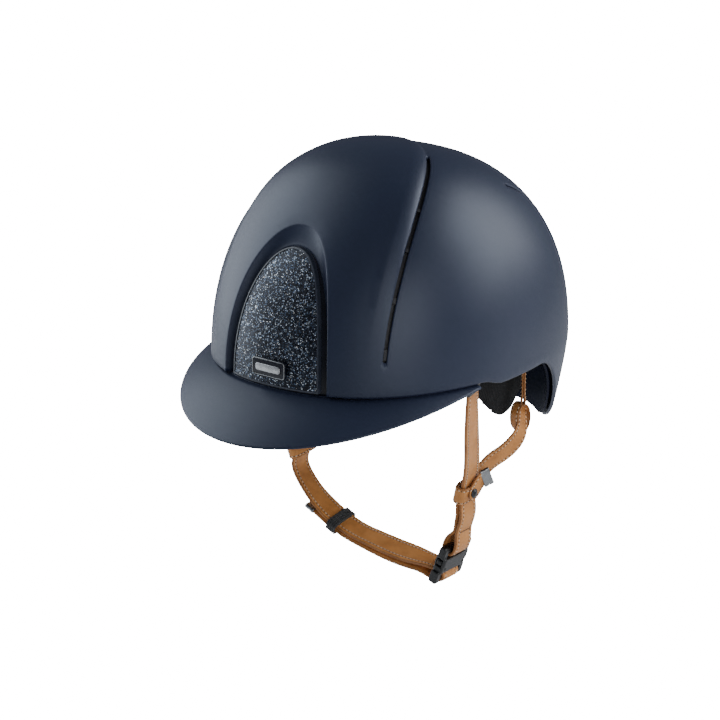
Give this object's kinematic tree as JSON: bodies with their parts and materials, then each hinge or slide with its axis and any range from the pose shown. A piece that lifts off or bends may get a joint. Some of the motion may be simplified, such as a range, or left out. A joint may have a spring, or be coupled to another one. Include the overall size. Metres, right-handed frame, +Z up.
{
  "type": "riding helmet",
  "caption": "Hard-shell riding helmet with peak, raised vented front cover, inset front panel, padded liner and leather harness with side-release buckle.",
  "frame": {"origin": "centre of the head opening, level with the front edge where the peak meets the shell", "axes": "+Z up through the crown, -Y to the front along the peak, +X to the wearer's left"},
  "size_m": [0.214, 0.3119, 0.2988],
  "materials": {
    "shell_navy": "matt painted shell",
    "inner_navy": "smooth matt",
    "bezel_gloss": "gloss",
    "panel_glitter": "sparkling glitter under clear coat",
    "bright_metal": "satin",
    "dark_steel": "blackened",
    "grille_black": "fine texture",
    "foam": "moulded bead foam",
    "knit_black": "ribbed sports knit",
    "hook_loop": "hook and loop",
    "leather_tan": "smooth stitched leather",
    "webbing_grey": "woven sleeve",
    "elastic_black": "ribbed elastic",
    "buckle_black": "satin moulded"
  },
  "bodies": {
    "helmet": {"anchor_rivets": "dark_steel", "badge_base": "bezel_gloss", "badge_plate": "bright_metal", "crown_pad": "knit_black", "ear_pad_left": "knit_black", "ear_pad_right": "knit_black", "foam_liner": "foam", "front_anchor_plate_left": "dark_steel", "front_anchor_plate_right": "dark_steel", "front_bezel": "bezel_gloss", "front_panel": "panel_glitter", "front_panel_frame": "bezel_gloss", "front_strap_left": "leather_tan", "front_strap_right": "leather_tan", "headband_pad": "knit_black", "hook_and_loop_discs": "hook_loop", "junction_collar_left": "leather_tan", "junction_collar_right": "leather_tan", "junction_flap_left": "leather_tan", "junction_flap_right": "leather_tan", "junction_flap_tip_left": "bright_metal", "junction_flap_tip_right": "bright_metal", "junction_stud_left": "dark_steel", "junction_stud_right": "dark_steel", "nape_guard": "inner_navy", "outer_shell": "shell_navy", "rear_anchor_plate_left": "dark_steel", "rear_anchor_plate_right": "dark_steel", "rear_loop_left": "leather_tan", "rear_loop_right": "leather_tan", "rear_strap_left": "leather_tan", "rear_strap_right": "leather_tan", "rear_tab_left": "leather_tan", "rear_tab_right": "leather_tan", "rear_vent_grille_left": "grille_black", "rear_vent_grille_right": "grille_black", "side_vent_grille_left": "grille_black", "side_vent_grille_right": "grille_black", "strap_sleeve_left": "webbing_grey", "strap_sleeve_right": "webbing_grey", "visor": "shell_navy", "visor_screws": "dark_steel"},
    "chin_loop": {"buckle_socket": "buckle_black", "buckle_strap_outer": "leather_tan", "buckle_strap_inner": "leather_tan", "buckle_strap_fold": "leather_tan", "chin_strap": "leather_tan", "chin_strap_tail": "leather_tan", "chin_strap_tip": "bright_metal"},
    "buckle_plug": {"buckle_plug": "buckle_black", "chin_strap_fold": "leather_tan"},
    "prong_front": {"buckle_prong_front": "buckle_black"},
    "prong_rear": {"buckle_prong_rear": "buckle_black"},
    "keeper": {"strap_keeper": "elastic_black"}
  },
  "joints": [
    {"name": "chin_loop_swing", "type": "hinge", "parent": "helmet", "child": "chin_loop", "pos_m": [0, -0.002, -0.0965], "axis": [-1, 0, 0], "range_deg": [-25, 35]},
    {"name": "buckle_release", "type": "slide", "parent": "chin_loop", "child": "buckle_plug", "axis": [-0.3486, 0, -0.9373], "range_m": [0, 0.018]},
    {"name": "prong_front_squeeze", "type": "hinge", "parent": "buckle_plug", "child": "prong_front", "pos_m": [0.05749, -0.0123, -0.14302], "axis": [-0.9373, 0, 0.3486], "range_deg": [0, 12], "stiffness_Nm_per_rad": 0.02},
    {"name": "prong_rear_squeeze", "type": "hinge", "parent": "buckle_plug", "child": "prong_rear", "pos_m": [0.05749, 0.0083, -0.14302], "axis": [0.9373, 0, -0.3486], "range_deg": [0, 12], "stiffness_Nm_per_rad": 0.02},
    {"name": "keeper_slide", "type": "hinge", "parent": "chin_loop", "child": "keeper", "pos_m": [-0.0013, -0.002, -0.0543], "axis": [0, -1, 0], "range_deg": [-4, 12]}
  ]
}
